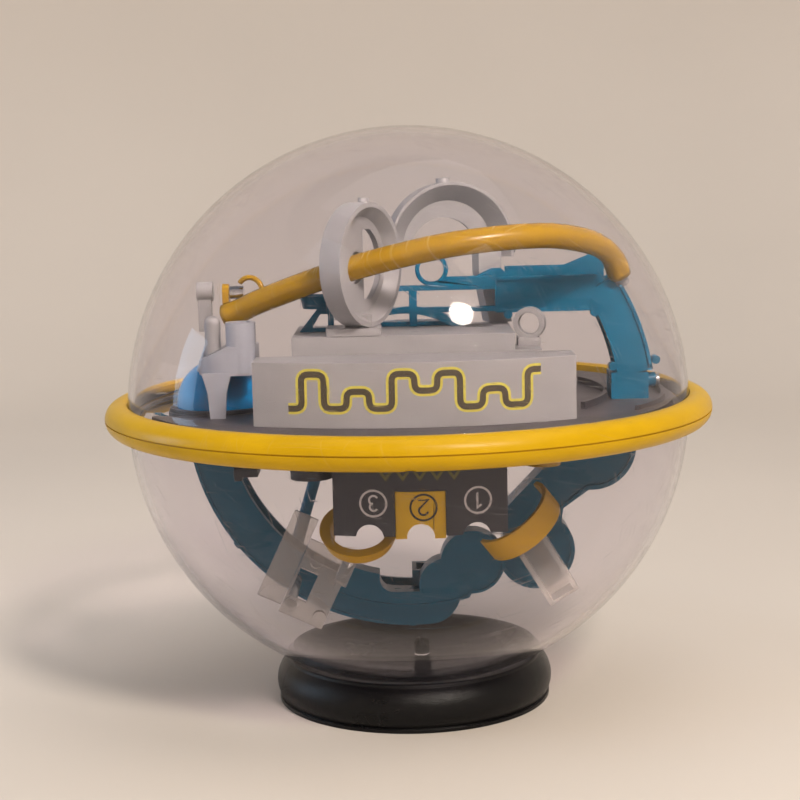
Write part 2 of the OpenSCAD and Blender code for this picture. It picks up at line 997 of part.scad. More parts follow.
module oval_cup() {
    ring_c = [41.4, -35.6, 32.4];
    ring_r = 5.4;
    hole_r = 3.6;
    ring_w = 4;
    turn = -15;
    color(light_grey)
        in_globe()
            union() {
                box([37.2, -39.4, front_top + 0.6], [44.8, -32, 27.8]);
                translate(ring_c)
                    rotate([0, 0, turn])
                        rotate([90, 0, 0])
                            difference() {
                                cylinder(r = ring_r, h = ring_w, center = true);
                                cylinder(r = hole_r, h = 2 * ring_w, center = true);
                            }
            }
}

module catch_stand() {
    color(blue)
        in_globe()
            front_slab(-32, -29.8)
                difference() {
                    polygon([[-36.4, tier_top], [-30, 38.6], [-24.6, 38.6], [-24.6, tier_top]]);
                    polygon([[-32, 32], [-29.2, 36.6], [-26.6, 36.6], [-26.6, 32]]);
                }
}

module catch_cup() {
    color(blue)
        in_globe()
            translate([-30.4, -30.9, 38.6])
                difference() {
                    cylinder(r1 = 4.6, r2 = 5.6, h = 4.4);
                    translate([0, 0, 1.2]) cylinder(r1 = 3.4, r2 = 4.6, h = 4);
                }
}

// ---------- Start block ----------

module start_face(inset) {
    intersection() {
        box(
            [start_x[0] + inset, -90, start_low + inset],
            [start_x[1] - inset, start_back_y, start_top - inset]
        );
        translate([start_mid_x, start_face_y + start_bulge_r, start_low - 5])
            cylinder(r = start_bulge_r - inset, h = 60, $fn = 240);
    }
}

module start_notches() {
    for (x = [-13.6, start_mid_x, 21.6])
        translate([x, -80, start_low - 0.6]) rotate([-90, 0, 0]) cylinder(r = notch_r, h = 60);
}

module start_block() {
    color(dark_grey)
        in_globe()
            difference() {
                union() {
                    start_face(0);
                    // Neck up to the deck
                    box([-14, -50, start_top - 1], [20, -41, -1.3]);
                }
                // Three open lanes behind the face
                for (lane = [[start_x[0], start_split[0]], start_split, [start_split[1], start_x[1]]])
                    box(
                        [lane[0] + track_wall, start_face_y + 5, start_low - 1],
                        [lane[1] - track_wall, start_back_y + 1, start_top - 12]
                    );
                start_notches();
                // Slot for the funnel ring
                on_funnel()
                    cylinder(
                        r1 = funnel_r[0] + 0.2,
                        r2 = funnel_r[1] + 0.2,
                        h = funnel_h + 0.4,
                        center = true
                    );
                // Opening for the middle panel
                box(
                    [start_split[0], -90, start_low - 1],
                    [start_split[1], start_face_y + 6, start_panel_top]
                );
            }
}

module start_panel() {
    set_back = 0.8;
    back_y = start_face_y + 4.8;
    color(yellow)
        in_globe()
            difference() {
                intersection() {
                    box(
                        [start_split[0] + fit_gap, -90, start_low - 1],
                        [start_split[1] - fit_gap, back_y, start_panel_top - 2 * fit_gap]
                    );
                    translate([start_mid_x, start_face_y + start_bulge_r + set_back, start_low - 5])
                        cylinder(r = start_bulge_r, h = 60, $fn = 240);
                }
                start_notches();
            }
}

// ---------- Yellow gates of the lower half ----------

module on_funnel() {
    translate([-17.6, -44, -36.8]) rotate([33, 0, 0]) children();
}

module funnel_ring() {
    bore_r = [8.2, 9.8];
    color(yellow)
        in_globe()
            on_funnel()
                difference() {
                    cylinder(r1 = funnel_r[0], r2 = funnel_r[1], h = funnel_h, center = true);
                    cylinder(r1 = bore_r[0], r2 = bore_r[1], h = funnel_h + 0.2, center = true);
                }
}

// Half hoop whose axis leans to the lower right
module on_hoop() {
    translate(hoop_c) rotate([0, 0, 22]) rotate([0, 141, 0]) children();
}

module half_hoop() {
    color(rail_yellow)
        in_globe()
            difference() {
                on_hoop()
                    translate([0, 0, -hoop_w / 2])
                        rotate([0, 0, 170])
                            rotate_extrude(angle = 190)
                                translate([hoop_r, 0]) square([track_wall, hoop_w]);
                start_face(-0.3);
            }
}

// ---------- Clear brackets ----------

// Frame of the left clear brackets: local X runs along the strip, local Y across it
module on_left_clear() {
    translate([-39.3, -40, -29.1]) rotate([0, 115.5, 0]) rotate([-90, 0, 0]) children();
}

module clear_strip() {
    length = 32;
    width = 8.8;
    color(clear)
        in_globe()
            on_left_clear()
                linear_extrude(clear_t) between([0, -width], [length, 0]);
}

module clear_frame() {
    peg_places = [[30.4, -11.6], [30.4, -22.6], [13, -14]];
    peg_head_r = 2.3;
    post_r = 2;
    post_h = 40 - arc_w / 2 - 1.1;
    color(clear)
        in_globe()
            on_left_clear()
                union() {
                    linear_extrude(clear_t)
                        difference() {
                            between([7, -26.6], [34.4, -9]);
                            // Window, and the notch in the long edge
                            between([17.6, -16.4], [28, -9.9]);
                            between([17.6, -27], [35, -25]);
                        }
                    for (p = peg_places)
                        translate([p[0], p[1], -2.4]) cylinder(r = peg_head_r, h = 3);
                    // Post back to the channel
                    translate([peg_places[0][0], peg_places[0][1], 1]) cylinder(r = post_r, h = post_h);
                    // Round boss along the long edge
                    translate([8, -24, 1]) rotate([0, 90, 0]) cylinder(r = 2.2, h = 9);
                }
}

module clear_box() {
    corner = [40.3, -38, -41.8];
    tilt = 59;
    length = 22;
    depth = 10;
    width = 11.2;
    post_h = 35.2;
    color(clear)
        in_globe()
            translate(corner)
                rotate([0, tilt, 0])
                    union() {
                        difference() {
                            translate([0, -depth / 2, -width / 2]) cube([length, depth, width]);
                            translate([-1, -depth / 2 - 0.01, clear_t - width / 2])
                                cube([length, depth - clear_t, width - 2 * clear_t]);
                        }
                        // Post back to the wavy tray
                        translate([length / 2, depth / 2 - 1, 0])
                            rotate([-90, 0, 0]) cylinder(r = 2, h = post_h);
                    }
}

// ---------- Lower tracks ----------

// Outline of the channel and its round end pocket. The inner one is wall smaller, and open
// towards the axis by the length open
module arc_outline(wall, open) {
    union() {
        sector_outline(arc_in_r - open, arc_out_r - wall, arc_from - open, arc_to);
        intersection() {
            translate(arc_end_c) circle(r = arc_end_r - wall);
            circle(r = arc_out_r - wall, $fn = 240);
            between([wall, -90], [60, arc_end_top + open]);
        }
    }
}

module arc_channel() {
    inner_w = arc_w - 2 * track_wall;
    color(blue)
        in_globe()
            difference() {
                union() {
                    front_slab(-arc_w / 2, arc_w / 2) arc_outline(0, 0);
                    // Pegs towards the dome
                    for (a = [218, 246, 270])
                        rotate([0, -a, 0])
                            translate([arc_out_r - 0.5, 0, 0])
                                rotate([0, 90, 0]) cylinder(r = peg_r, h = 2.4, $fn = small_fn);
                    // Beads along both front edges
                    arc_bead(arc_in_r + 0.15, 243);
                    arc_bead(arc_out_r - edge_bead_w - 0.15, 262);
                    // Hanger up to the deck's edge
                    front_slab(arc_w / 2 - track_wall, arc_w / 2)
                        polygon([[-77, -10], [-77, -14.6], [-93.4, -4], [-93.4, -1.3], [-90.4, -1.3]]);
                }
                front_slab(-inner_w / 2, inner_w / 2) arc_outline(track_wall, 1);
            }
}

module arc_bead(r, to) {
    translate([0, -arc_w / 2, 0])
        about_y(arc_from + 3, to) between([r, -0.3], [r + edge_bead_w, edge_bead_h]);
}

// Step cut into the front track, with a round corner
module scallop_notch(inset) {
    low = [-11.6 - inset, -64.6 - inset];
    corner_r = 5;
    translate(low)
        union() {
            between([0, corner_r], [20, 20]);
            between([corner_r, 0], [20, 20]);
            translate([corner_r, corner_r]) circle(r = corner_r);
        }
}

// Low front track with a stepped top edge and two round pockets
module scallop_outline(inset) {
    intersection() {
        circle(r = scallop_out_r - inset, $fn = 240);
        union() {
            difference() {
                sector_outline(scallop_in_r + inset, scallop_out_r, 246, 284);
                scallop_notch(inset);
            }
            for (c = scallop_lobes)
                translate([c[0], c[1]]) circle(r = c[2] - inset);
        }
    }
}

module scallop_track() {
    front_y = -16;
    back_y = -7.2;
    lip = 0.7;
    color(blue)
        in_globe()
            difference() {
                front_slab(front_y, back_y) scallop_outline(0);
                front_slab(front_y + lip + track_wall, back_y + 1) scallop_outline(track_wall);
                front_slab(front_y - 1, front_y + lip) scallop_outline(0.9);
            }
}

module lobe_outline(inset) {
    for (c = lobes)
        translate([c[0], c[1]]) circle(r = c[2] - inset);
    polygon([
        [32 + inset, -52], [40, -66 + inset], [54 - inset, -50], [55.6 - inset, -39],
        [74 - inset, -26 + inset], [78 - inset, -4], [60 + inset, -4], [47.6 + inset, -25], [34 + inset, -39]
    ]);
}

// Wavy tray on the right, with a lip round its front face
module lobe_track() {
    depth = 13;
    front_y = 1.4;
    lip = 0.9;
    color(blue)
        in_globe()
            difference() {
                intersection() {
                    front_slab(front_y - lip, front_y + depth) lobe_outline(0);
                    box([33.4, -40, -90], [90, 60, -1.4]);
                }
                front_slab(front_y + track_wall, front_y + depth + 1) lobe_outline(track_wall);
                front_slab(front_y - 2, front_y) lobe_outline(track_wall);
            }
}

module cross_brace() {
    color(blue)
        in_globe()
            rod([-27.1, 9.4, -2], [-42.6, 9.4, -52], 2.2);
}

module under_shelf() {
    color(dark_grey)
        in_globe()
            union() {
                box([-59, -46, -16.4], [-51, -34, -13.6]);
                box([-59, -44, -18], [-56.4, -38, -1.4]);
            }
}

module under_boss() {
    color(dark_grey)
        in_globe()
            translate([-33, -46, -17])
                union() {
                    cylinder(r = 7, h = 3.4);
                    cylinder(r = 3, h = 15.6);
                }
}

module pocket_pad() {
    pad_c = [45.4, -36, -1.4];
    depth = 14.6;
    wall = 1.4;
    color(rail_yellow)
        in_globe()
            translate(pad_c)
                rotate([180, 0, 0])
                    difference() {
                        cylinder(r1 = 9, r2 = 6, h = depth);
                        translate([0, 0, -1.4])
                            cylinder(r1 = 9 - wall, r2 = 6 - wall - 0.2, h = depth - 0.6);
                    }
}

// ---------- Back of the maze ----------

module rear_stairs() {
    steps = 4;
    run = 9;
    rise = 6;
    top = 27;
    step_x = [-34, -10];
    tread = 3;
    first_y = tier_back_y + 0.2;
    color(light_grey)
        in_globe()
            difference() {
                union()
                    for (i = [0 : steps - 1])
                        box(
                            [step_x[0], first_y + i * run, deck_top],
                            [step_x[1], first_y + (i + 1) * run, top - i * rise]
                        );
                // Tray in each step, open towards the next one down
                for (i = [0 : steps - 1])
                    box(
                        [step_x[0] + track_wall, tier_back_y + track_wall + i * run, top - i * rise - tread],
                        [step_x[1] - track_wall, tier_back_y + (i + 1) * run + 2, top + 13]
                    );
            }
}

module rear_channel() {
    floor_z = 3;
    color(blue)
        in_globe()
            difference() {
                translate([rear_c[0], rear_c[1], deck_top])
                    rotate([0, 0, -60])
                        rotate_extrude(angle = 240)
                            difference() {
                                between([rear_in_r, 0], [rear_out_r, 16]);
                                between(
                                    [rear_in_r + track_wall, 2 * floor_z],
                                    [rear_out_r - track_wall, 17]
                                );
                            }
                // Room for the stairs and the tier
                box([-40, -40, 0], [-8, 60, 40]);
                box([-60, -60, 0], [60, tier_back_y + 0.2, 40]);
                rear_gate_ring(0.15);
            }
}

// Half hoop that stands across the back channel
module rear_gate_ring(gap) {
    w = 7 + 2 * gap;
    translate([rear_gate_c[0], rear_gate_c[1], deck_top])
        rotate([90, 0, 90])
            difference() {
                translate([0, 0, -w / 2])
                    linear_extrude(w)
                        difference() {
                            circle(r = rear_gate_r + gap);
                            circle(r = rear_gate_r - 1.8 - gap);
                        }
                box([-20, -20, -w], [20, 0, w]);
            }
}

module rear_gate() {
    color(yellow)
        in_globe() rear_gate_ring(0);
}

module rear_bowl() {
    bowl_c = [8, 34];
    rim_r = 24;
    foot_r = 15;
    depth = 26;
    hole_r = 6;
    color(dark_grey)
        in_globe()
            translate([bowl_c[0], bowl_c[1], -1.4])
                rotate([180, 0, 0])
                    difference() {
                        cylinder(r1 = rim_r, r2 = foot_r, h = depth);
                        translate([0, 0, -1])
                            cylinder(r1 = rim_r - track_wall, r2 = foot_r - track_wall, h = depth - 0.6);
                        translate([0, 0, depth - 6]) cylinder(r = hole_r, h = 10);
                    }
}

module steel_ball() {
    depth = arc_out_r - track_wall - ball_r - ball_gap;
    color("silver")
        in_globe() translate([0, 0, -depth]) sphere(r = ball_r);
}

stand();
upper_dome();
lower_dome();
ring_upper();
ring_lower();
ring_screws();
deck();
front_panel();
tier_housing();
loop_plinth();
loop_drum();
loop_arch();
balance_rail();
rail_end_pin();
rail_bracket();
rail_handle();
bracket_pin();
left_tower();
tower_post();
tower_knob();
blue_bell();
bell_pedestal();
bridge();
bridge_screw();
lattice();
oval_cup();
catch_cup();
catch_stand();
start_block();
start_panel();
funnel_ring();
half_hoop();
clear_strip();
clear_frame();
clear_box();
arc_channel();
scallop_track();
lobe_track();
cross_brace();
under_shelf();
under_boss();
pocket_pad();
rear_stairs();
rear_channel();
rear_gate();
rear_bowl();
steel_ball();
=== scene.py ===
"""Looks for the tilt maze game: clear shell, moulded plastics, printed panel, starts and studio."""

import json
import math

import bmesh
import bpy
from mathutils import Euler, Matrix, Vector


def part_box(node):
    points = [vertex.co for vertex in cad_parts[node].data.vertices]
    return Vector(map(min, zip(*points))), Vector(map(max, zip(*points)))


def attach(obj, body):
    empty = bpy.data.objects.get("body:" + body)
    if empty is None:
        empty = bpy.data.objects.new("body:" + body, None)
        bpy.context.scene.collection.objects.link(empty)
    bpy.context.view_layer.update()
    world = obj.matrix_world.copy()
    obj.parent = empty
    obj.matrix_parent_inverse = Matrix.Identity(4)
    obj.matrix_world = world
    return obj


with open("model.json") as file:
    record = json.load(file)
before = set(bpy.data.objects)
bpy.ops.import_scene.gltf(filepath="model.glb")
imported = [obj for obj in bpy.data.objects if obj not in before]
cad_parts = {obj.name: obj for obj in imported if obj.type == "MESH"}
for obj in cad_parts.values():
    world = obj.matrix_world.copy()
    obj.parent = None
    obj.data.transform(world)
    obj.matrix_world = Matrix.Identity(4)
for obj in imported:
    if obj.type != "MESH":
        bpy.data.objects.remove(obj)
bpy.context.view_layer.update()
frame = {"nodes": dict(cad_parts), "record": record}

MM = 0.001
# The seam between the two shells is level with the globe's centre
GLOBE_C = Vector((0.0, 0.0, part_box("ring_lower")[1][2]))
# Rounding of the CAD nodes' edges, and the distance below which their vertices are joined
EDGE_W = 0.25 * MM
WELD_GAP = 0.002 * MM
# Thickness of a printed film
FILM_T = 0.08 * MM
# Nearly all values of a noise lie between these two
NOISE_LOW, NOISE_HIGH = 0.3, 0.7


# ---------- Node helpers ----------


class Shader:
    """A material's node tree, with short calls for adding and joining nodes."""

    def __init__(self, name):
        self.material = bpy.data.materials.new(name)
        self.material.use_nodes = True
        self.nodes = self.material.node_tree.nodes
        self.links = self.material.node_tree.links
        self.nodes.clear()
        self.output = self.nodes.new("ShaderNodeOutputMaterial")
        # The object's own coordinates, in metres
        self.place = self.add("TexCoord").outputs["Object"]

    def join(self, value, socket):
        """Sets an input socket to a value, or links another node's output to it."""
        if isinstance(value, bpy.types.NodeSocket):
            self.links.new(value, socket)
        else:
            socket.default_value = value

    def add(self, kind, **values):
        """A node of that kind, with its named inputs set to values or joined to sockets."""
        node = self.nodes.new("ShaderNode" + kind)
        for name, value in values.items():
            self.join(value, node.inputs[name.replace("_", " ")])
        return node

    def stretch(self, scale, turn=(0, 0, 0)):
        """The object's own coordinates, turned and then scaled."""
        turned = self.add("Mapping", Vector=self.place, Rotation=turn).outputs[0]
        return self.add("Mapping", Vector=turned, Scale=scale).outputs[0]

    def noise(self, scale, detail=3.0, rough=0.5, at=None):
        """Noise with about scale spots in a metre, or in a unit of at."""
        node = self.add("TexNoise", Vector=at or self.place, Scale=scale, Detail=detail, Roughness=rough)
        return node.outputs["Fac"]

    def ramp(self, value, low, high, to_low=0.0, to_high=1.0):
        """value between low and high, spread over to_low and to_high."""
        node = self.add("MapRange", Value=value, From_Min=low, From_Max=high, To_Min=to_low, To_Max=to_high)
        return node.outputs["Result"]

    def math(self, operation, a, b=0.0):
        node = self.nodes.new("ShaderNodeMath")
        node.operation = operation
        for value, socket in zip((a, b), node.inputs):
            self.join(value, socket)
        return node.outputs[0]

    def mix(self, factor, a, b):
        """Colour a where factor is 0 and colour b where it is 1."""
        node = self.nodes.new("ShaderNodeMix")
        node.data_type = "RGBA"
        # These are the factor and the two colours. The inputs between them are for other data types
        for value, place in ((factor, 0), (a, 6), (b, 7)):
            self.join(value, node.inputs[place])
        return node.outputs[2]

    def mix_shaders(self, factor, a, b):
        node = self.nodes.new("ShaderNodeMixShader")
        for value, socket in zip((factor, a, b), node.inputs):
            self.join(value, socket)
        return node.outputs[0]

    def bump(self, height, strength, distance):
        return self.add("Bump", Height=height, Strength=strength, Distance=distance).outputs[0]

    def scratches(self, fineness, turns=(0.3, 1.4, 2.3), rarity=0.68):
        """Hairline marks in a few directions: 1 on a mark, 0 elsewhere. fineness is in marks per metre."""
        # A mark is thin along X and many times as long along Y and Z
        stretch_y, stretch_z = 0.035, 0.02
        edge = 0.06
        facing_full, facing_none = 0.4, 0.75
        normal = self.add("TexCoord").outputs["Normal"]
        marks = None
        for i, turn in enumerate(turns):
            angles = (turn * 0.7, turn, turn * 1.9 + i)
            at = self.stretch((fineness, fineness * stretch_y, fineness * stretch_z), angles)
            line = self.ramp(self.noise(1.0, detail=1.0, rough=0.4, at=at), rarity, rarity + edge)
            # A face that looks along that thin direction shows no marks
            dot = self.nodes.new("ShaderNodeVectorMath")
            dot.operation = "DOT_PRODUCT"
            self.links.new(normal, dot.inputs[0])
            dot.inputs[1].default_value = tuple(Euler(angles).to_matrix().row[0])
            facing = self.math("ABSOLUTE", dot.outputs["Value"])
            line = self.math("MULTIPLY", line, self.ramp(facing, facing_none, facing_full))
            marks = line if marks is None else self.math("MAXIMUM", marks, line)
        return marks

    def finish(self, shader):
        self.links.new(shader, self.output.inputs["Surface"])
        return self.material


def linear(value):
    """A linear channel from a screen value of 0 to 1."""
    if value > 0.04045:
        return ((value + 0.055) / 1.055) ** 2.4
    return value / 12.92


def rgb(red, green, blue):
    """Linear colour from screen values of 0 to 255."""
    return tuple(linear(value / 255) for value in (red, green, blue)) + (1.0,)


def shade(colour, factor):
    """The colour made darker or lighter."""
    return tuple(c * factor for c in colour[:3]) + (1.0,)


def faded(colour):
    """The paler, duller colour of a scuffed or dusty spot."""
    return tuple(0.6 * c + 0.3 for c in colour[:3]) + (1.0,)


# ---------- Materials ----------


def moulded(name, colour, rough, grain, wear, shine=0.5, coat=0.0, grain_size=1400.0):
    """Injection-moulded plastic: faint flow marks, uneven gloss, fine grain, scuffs and dust.

    grain is the height of the surface grain, of which grain_size fit in a metre. wear says how much the
    scuffs and the dust show, and shine is the specular level.
    """
    s = Shader(name)
    flow = s.noise(38.0, detail=4.0, rough=0.6, at=s.stretch((1.0, 1.0, 2.6)))
    scuff = s.scratches(1500.0)
    dust = s.ramp(s.noise(260.0, detail=2.0), 0.62, 0.8, to_high=0.4 * wear)
    tone = s.mix(s.ramp(flow, NOISE_LOW, NOISE_HIGH), shade(colour, 0.9), shade(colour, 1.08))
    tone = s.mix(s.math("MULTIPLY", scuff, wear), tone, faded(colour))
    tone = s.mix(dust, tone, faded(colour))
    gloss = s.ramp(flow, NOISE_LOW, NOISE_HIGH, to_low=rough - 0.05, to_high=rough + 0.07)
    gloss = s.math("ADD", gloss, s.math("MULTIPLY", scuff, 0.18))
    fine = s.noise(grain_size, detail=2.0, rough=0.6)
    height = s.math("ADD", s.math("MULTIPLY", fine, grain), s.math("MULTIPLY", flow, 0.25))
    height = s.math("SUBTRACT", height, s.math("MULTIPLY", scuff, 0.3))
    relief = s.bump(height, strength=0.35, distance=0.2 * MM)
    body = s.add("BsdfPrincipled", Base_Color=tone, Roughness=gloss, Normal=relief)
    body.inputs["IOR"].default_value = 1.5
    body.inputs["Specular IOR Level"].default_value = shine
    body.inputs["Coat Weight"].default_value = coat
    body.inputs["Coat Roughness"].default_value = 0.12
    return s.finish(body.outputs[0])


def clear_plastic(name, tint, film, rough, haze, marks):
    """Clear polished plastic with smears, haze and a web of fine scratches. Lamps shine through it.

    tint colours what is seen through it. film is the colour of a thin veil on it, haze the veil's
    share, and marks what a scratch adds to that share.
    """
    s = Shader(name)
    smear = s.ramp(s.noise(14.0, detail=5.0, rough=0.6), 0.4, 0.75, to_low=rough, to_high=rough + 0.03)
    scratch = s.scratches(2800.0, turns=(0.2, 0.9, 1.7, 2.6), rarity=0.73)
    gloss = s.math("ADD", smear, s.math("MULTIPLY", scratch, 0.12))
    relief = s.bump(s.math("MULTIPLY", scratch, -1.0), strength=0.15, distance=0.1 * MM)
    glass = s.add("BsdfPrincipled", Roughness=gloss, Normal=relief)
    glass.inputs["Base Color"].default_value = tint
    glass.inputs["Transmission Weight"].default_value = 1.0
    # Lower than real plastic's, so that the shell's rim stays thin and pale
    glass.inputs["IOR"].default_value = 1.22
    veil = s.add("BsdfPrincipled", Roughness=0.5)
    veil.inputs["Base Color"].default_value = film
    cloud = s.noise(9.0, detail=3.0)
    share = s.ramp(cloud, NOISE_LOW, NOISE_HIGH, to_low=haze * 0.6, to_high=haze * 1.4)
    share = s.math("ADD", share, s.math("MULTIPLY", scratch, marks))
    surface = s.mix_shaders(share, glass.outputs[0], veil.outputs[0])
    through = s.add("BsdfTransparent")
    through.inputs["Color"].default_value = shade(tint, 0.97)
    shadow_ray = s.add("LightPath").outputs["Is Shadow Ray"]
    return s.finish(s.mix_shaders(shadow_ray, surface, through.outputs[0]))


def steel(name, colour, rough, marks):
    """Bare steel with fine marks and small nicks. marks says how many there are in a metre each way."""
    s = Shader(name)
    turned = s.noise(1.0, detail=2.0, at=s.stretch(marks))
    gloss = s.ramp(turned, NOISE_LOW, NOISE_HIGH, to_low=rough, to_high=rough + 0.1)
    tone = s.mix(s.ramp(s.noise(500.0), 0.4, 0.7), shade(colour, 0.85), colour)
    relief = s.bump(turned, strength=0.1, distance=0.1 * MM)
    metal = s.add("BsdfPrincipled", Base_Color=tone, Roughness=gloss, Normal=relief)
    metal.inputs["Metallic"].default_value = 1.0
    return s.finish(metal.outputs[0])


def printed(name, colour, rough):
    """Thin ink film, a little uneven."""
    s = Shader(name)
    blot = s.noise(700.0, detail=4.0, rough=0.6)
    tone = s.mix(s.ramp(blot, 0.35, 0.7), shade(colour, 0.86), shade(colour, 1.1))
    gloss = s.ramp(blot, NOISE_LOW, NOISE_HIGH, to_low=rough, to_high=rough + 0.12)
    ink = s.add("BsdfPrincipled", Base_Color=tone, Roughness=gloss)
    return s.finish(ink.outputs[0])


def backdrop_paint(name, colour):
    """Matte wall paint with a faint cloud and a fine texture."""
    s = Shader(name)
    cloud = s.noise(3.0, detail=2.0)
    tone = s.mix(s.ramp(cloud, NOISE_LOW, NOISE_HIGH), shade(colour, 0.97), shade(colour, 1.03))
    relief = s.bump(s.noise(260.0, rough=0.6), strength=0.06, distance=0.6 * MM)
    matte = s.add("BsdfPrincipled", Base_Color=tone, Roughness=0.85, Normal=relief)
    return s.finish(matte.outputs[0])


SHELL_TINT = (0.915, 0.895, 0.925, 1.0)
BRACKET_TINT = (0.90, 0.89, 0.88, 1.0)
SHELL_FILM = rgb(228, 224, 230)
BRACKET_FILM = rgb(214, 206, 198)

MATERIALS = {
    "clear_plastic": clear_plastic("shell_clear", SHELL_TINT, SHELL_FILM, 0.012, haze=0.004, marks=0.06),
    "bracket_clear": clear_plastic("bracket_clear", BRACKET_TINT, BRACKET_FILM, 0.04, haze=0.36, marks=0.1),
    "ring_yellow": moulded("ring_yellow", rgb(196, 155, 0), 0.32, grain=0.1, wear=0.05, shine=0.2),
    "rail_yellow": moulded("rail_yellow", rgb(160, 122, 6), 0.2, grain=0.05, wear=0.04),
    "panel_yellow": moulded("panel_yellow", rgb(218, 172, 4), 0.38, grain=0.2, wear=0.1, shine=0.3),
    # A lighter copy of the rail's yellow: painted light, brightened to stand in for the half hoop's
    # brightly lit front face
    "lit_hoop_yellow": moulded("lit_hoop_yellow", rgb(206, 158, 34), 0.34, grain=0.1, wear=0.08, shine=0.3),
    "blue": moulded("blue_plastic", rgb(0, 91, 121), 0.28, grain=0.12, wear=0.12, shine=0.22),
    "bell_blue": moulded("bell_blue", rgb(0, 122, 180), 0.2, grain=0.05, wear=0.06, shine=0.25, coat=0.06),
    "light_grey": moulded("light_grey", rgb(146, 144, 143), 0.45, grain=0.5, wear=0.12),
    "tower_white": moulded("tower_white", rgb(150, 152, 158), 0.36, grain=0.2, wear=0.06, shine=0.35),
    "dark_grey": moulded("dark_grey", rgb(48, 47, 53), 0.42, grain=0.6, wear=0.12, shine=0.35),
    "deck_grey": moulded("deck_grey", rgb(68, 64, 66), 0.42, grain=0.6, wear=0.12, shine=0.35),
    "stand_black": moulded("stand_black", rgb(7, 7, 9), 0.3, 1.8, wear=0.01, shine=0.22, grain_size=2600.0),
    "screw_steel": steel("screw_steel", rgb(190, 190, 192), rough=0.3, marks=(900.0, 900.0, 60.0)),
    "steel": steel("ball_steel", rgb(214, 214, 216), rough=0.08, marks=(300.0, 300.0, 300.0)),
    "ink_dark": printed("ink_dark", rgb(66, 58, 40), rough=0.5),
    "ink_glow": printed("ink_glow", rgb(196, 184, 70), rough=0.55),
    "ink_white": printed("ink_white", rgb(206, 200, 196), rough=0.5),
    "ink_black": printed("ink_black", rgb(38, 34, 26), rough=0.5),
    "ink_olive": printed("ink_olive", rgb(104, 98, 36), rough=0.5),
}

# Nodes whose material isn't the one of their slot in the record
NODE_MATERIALS = {
    "clear_strip": "bracket_clear",
    "clear_frame": "bracket_clear",
    "clear_box": "bracket_clear",
    "blue_bell": "bell_blue",
    "deck": "deck_grey",
    # The half hoop and the funnel ring take the lighter, painted-light copy of the rail's yellow
    "half_hoop": "lit_hoop_yellow",
    "funnel_ring": "lit_hoop_yellow",
}


# ---------- CAD nodes ----------

# Nodes whose edges are left as they are, because they are round or made of small facets
UNBEVELLED = ("upper_dome", "lower_dome", "steel_ball", "balance_rail")


def soften(obj, with_bevel):
    """Joins the mesh's split vertices, rounds its sharp edges and shades it smooth."""
    weld = obj.modifiers.new("weld", "WELD")
    weld.merge_threshold = WELD_GAP
    if with_bevel:
        bevel = obj.modifiers.new("round_edges", "BEVEL")
        bevel.width = EDGE_W
        bevel.segments = 2
        bevel.limit_method = "ANGLE"
        bevel.angle_limit = math.radians(40)
        # Large faces keep their own direction, so they look flat up to the rounded edge
        obj.modifiers.new("flat_faces", "WEIGHTED_NORMAL").keep_sharp = False
    for polygon in obj.data.polygons:
        polygon.use_smooth = True


def finish_nodes():
    """Gives every CAD node its material and its soft edges."""
    slots = {part["node"]: part["material_slot"] for part in frame["record"]["subparts"]}
    for name, obj in frame["nodes"].items():
        material = MATERIALS[NODE_MATERIALS.get(name, slots[name])]
        for place in obj.material_slots:
            place.material = material
        soften(obj, name not in UNBEVELLED)


# ---------- Prints ----------


def ribbon(path, width, closed):
    """The left and right corner points of a flat ribbon along a path in X and Z, with mitred joins."""
    # A sharp join reaches out to at most twice the ribbon's half width
    mitre_limit = 0.5
    count = len(path)
    left, right = [], []
    for i, point in enumerate(path):
        before = path[i - 1] if closed or i else point
        after = path[(i + 1) % count] if closed or i < count - 1 else point
        along = ((point - before).normalized() + (after - point).normalized()).normalized()
        side = Vector((-along.y, along.x))
        turn = (after - point).normalized() if (after - point).length else along
        reach = width / 2 / max(mitre_limit, along.dot(turn))
        left.append(point + side * reach)
        right.append(point - side * reach)
    return left, right


def print_on(name, paths, width, face_y, lift, material):
    """Printed lines, lift off a curved face. face_y(x) is the face's Y. Each path is (points, closed)."""
    mesh = bmesh.new()
    for path, closed in paths:
        left, right = ribbon(path, width, closed)
        rows = []
        for a, b in zip(left, right):
            row = []
            for corner, height in ((a, lift + FILM_T), (b, lift + FILM_T), (b, lift), (a, lift)):
                row.append(mesh.verts.new((corner.x, face_y(corner.x) - height, corner.y)))
            rows.append(row)
        next_rows = rows[1:] + rows[:1] if closed else rows[1:]
        for first, second in zip(rows, next_rows):
            for k in range(4):
                mesh.faces.new((first[k], first[(k + 1) % 4], second[(k + 1) % 4], second[k]))
        if not closed:
            mesh.faces.new(reversed(rows[0]))
            mesh.faces.new(rows[-1])
    bmesh.ops.recalc_face_normals(mesh, faces=mesh.faces)
    data = bpy.data.meshes.new(name)
    mesh.to_mesh(data)
    mesh.free()
    piece = bpy.data.objects.new(name, data)
    bpy.context.collection.objects.link(piece)
    data.materials.append(MATERIALS[material])
    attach(piece, "globe")


def split_long(path, longest=2.5 * MM):
    """The same open path with extra points, so that no length is longer than longest."""
    result = []
    for a, b in zip(path, path[1:]):
        parts = max(1, math.ceil((b - a).length / longest))
        result += [a.lerp(b, k / parts) for k in range(parts)]
    result.append(path[-1])
    return result


def rounded(points, radius, steps=5):
    """An open path through the points with rounded corners, cut into short lengths."""
    path = [points[0]]
    for before, corner, after in zip(points, points[1:], points[2:]):
        back = before - corner
        ahead = after - corner
        cut = min(radius, back.length / 2, ahead.length / 2)
        start = corner + back.normalized() * cut
        end = corner + ahead.normalized() * cut
        for k in range(steps + 1):
            t = k / steps
            path.append(start * (1 - t) ** 2 + corner * 2 * t * (1 - t) + end * t * t)
    path.append(points[-1])
    return split_long(path)


